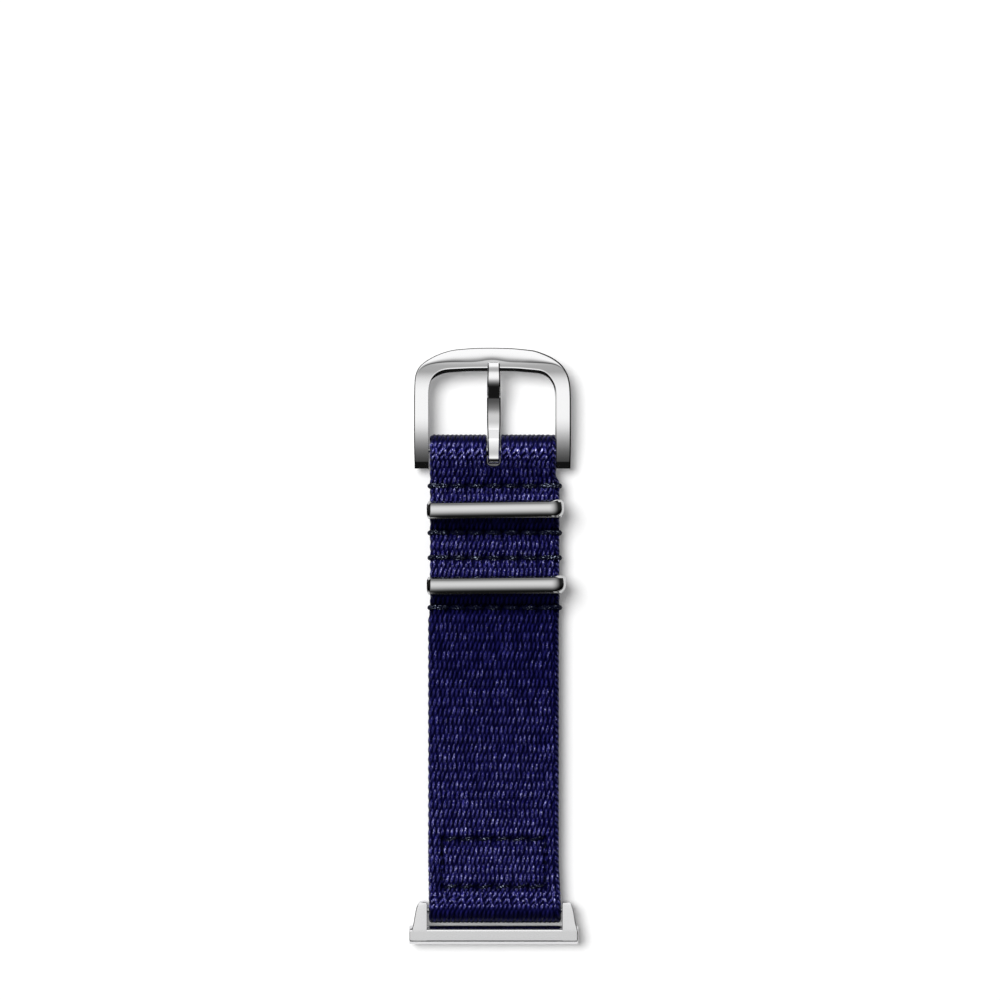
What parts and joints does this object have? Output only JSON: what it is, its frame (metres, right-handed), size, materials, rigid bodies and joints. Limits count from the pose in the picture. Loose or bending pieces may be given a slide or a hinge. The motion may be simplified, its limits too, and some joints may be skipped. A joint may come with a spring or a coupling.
{
  "type": "nylon watch strap",
  "caption": "Buckle half of a nylon watch strap: doubled webbing on a slide-in lug adapter, with metal keepers and a pin buckle.",
  "frame": {"origin": "centre of the adapter's slide rail, in the plane where the two webbing layers meet", "axes": "+X across the strap, +Y along it from the watch to the buckle, +Z away from the wrist"},
  "size_m": [0.0308, 0.1088, 0.0074],
  "materials": {
    "navy_webbing": "woven nylon",
    "dark_thread": "bonded thread",
    "polished_steel": "polished",
    "satin_aluminium": "satin",
    "spring_steel": "bright drawn"
  },
  "bodies": {
    "adapter": {"lug_adapter": "satin_aluminium", "lug_bar_tube": "spring_steel", "lug_bar_spring": "spring_steel", "latch_spring": "spring_steel"},
    "latch": {"latch_button": "spring_steel"},
    "lug_tip_left": {"lug_bar_tip_left": "spring_steel"},
    "lug_tip_right": {"lug_bar_tip_right": "spring_steel"},
    "strap_lug_end": {"webbing_lug_end": "navy_webbing", "box_stitch": "dark_thread"},
    "strap_1": {"webbing_span_1": "navy_webbing"},
    "strap_2": {"webbing_span_2": "navy_webbing"},
    "strap_3": {"webbing_span_3": "navy_webbing"},
    "strap_buckle_end": {"webbing_buckle_end": "navy_webbing", "stitch_row_1": "dark_thread", "stitch_row_2": "dark_thread", "stitch_row_3": "dark_thread", "stitch_row_4": "dark_thread"},
    "keeper_near_buckle": {"keeper_1": "polished_steel"},
    "keeper_near_watch": {"keeper_2": "polished_steel"},
    "buckle": {"buckle_frame": "polished_steel", "buckle_bar_tube": "spring_steel", "buckle_bar_spring": "spring_steel"},
    "buckle_tip_left": {"buckle_bar_tip_left": "spring_steel"},
    "buckle_tip_right": {"buckle_bar_tip_right": "spring_steel"},
    "tongue": {"buckle_tongue": "polished_steel"}
  },
  "joints": [
    {"name": "latch_press", "type": "slide", "parent": "adapter", "child": "latch", "axis": [0, 0, 1], "range_m": [0, 0.00045], "stiffness_N_per_m": 600, "springref_m": -0.0005, "deforming": ["latch_spring"]},
    {"name": "lug_tip_left_slide", "type": "slide", "parent": "adapter", "child": "lug_tip_left", "axis": [1, 0, 0], "range_m": [0, 0.00115], "stiffness_N_per_m": 400, "springref_m": -0.0006, "deforming": ["lug_bar_spring"]},
    {"name": "lug_tip_right_slide", "type": "slide", "parent": "adapter", "child": "lug_tip_right", "axis": [-1, 0, 0], "range_m": [0, 0.00115], "stiffness_N_per_m": 400, "springref_m": -0.0006, "deforming": ["lug_bar_spring"]},
    {"name": "lug_pivot", "type": "hinge", "parent": "adapter", "child": "strap_lug_end", "pos_m": [0, 0.0045, 0], "axis": [-1, 0, 0], "range_deg": [-30, 75]},
    {"name": "web_bend_1", "type": "hinge", "parent": "strap_lug_end", "child": "strap_1", "pos_m": [0, 0.0205, 0.0007], "axis": [-1, 0, 0], "range_deg": [-20, 30], "stiffness_Nm_per_rad": 0.025},
    {"name": "web_bend_2", "type": "hinge", "parent": "strap_1", "child": "strap_2", "pos_m": [0, 0.0305, 0.0007], "axis": [-1, 0, 0], "range_deg": [-20, 30], "stiffness_Nm_per_rad": 0.025},
    {"name": "web_bend_3", "type": "hinge", "parent": "strap_2", "child": "strap_3", "pos_m": [0, 0.0405, 0.0007], "axis": [-1, 0, 0], "range_deg": [-20, 30], "stiffness_Nm_per_rad": 0.025},
    {"name": "web_bend_4", "type": "hinge", "parent": "strap_3", "child": "strap_buckle_end", "pos_m": [0, 0.0505, 0.0007], "axis": [-1, 0, 0], "range_deg": [-20, 30], "stiffness_Nm_per_rad": 0.025},
    {"name": "keeper_1_tilt", "type": "hinge", "parent": "strap_buckle_end", "child": "keeper_near_buckle", "pos_m": [0, 0.0776, 0], "axis": [1, 0, 0], "range_deg": [-8, 8], "stiffness_Nm_per_rad": 0.002},
    {"name": "keeper_2_tilt", "type": "hinge", "parent": "strap_buckle_end", "child": "keeper_near_watch", "pos_m": [0, 0.0637, 0], "axis": [1, 0, 0], "range_deg": [-8, 8], "stiffness_Nm_per_rad": 0.002},
    {"name": "buckle_pivot", "type": "hinge", "parent": "strap_buckle_end", "child": "buckle", "pos_m": [0, 0.08845, 0], "axis": [-1, 0, 0], "range_deg": [-60, 60]},
    {"name": "buckle_tip_left_slide", "type": "slide", "parent": "buckle", "child": "buckle_tip_left", "axis": [1, 0, 0], "range_m": [0, 0.00115], "stiffness_N_per_m": 400, "springref_m": -0.0006, "deforming": ["buckle_bar_spring"]},
    {"name": "buckle_tip_right_slide", "type": "slide", "parent": "buckle", "child": "buckle_tip_right", "axis": [-1, 0, 0], "range_m": [0, 0.00115], "stiffness_N_per_m": 400, "springref_m": -0.0006, "deforming": ["buckle_bar_spring"]},
    {"name": "tongue_pivot", "type": "hinge", "parent": "buckle", "child": "tongue", "pos_m": [0, 0.08845, 0], "axis": [1, 0, 0], "range_deg": [0, 115]}
  ]
}
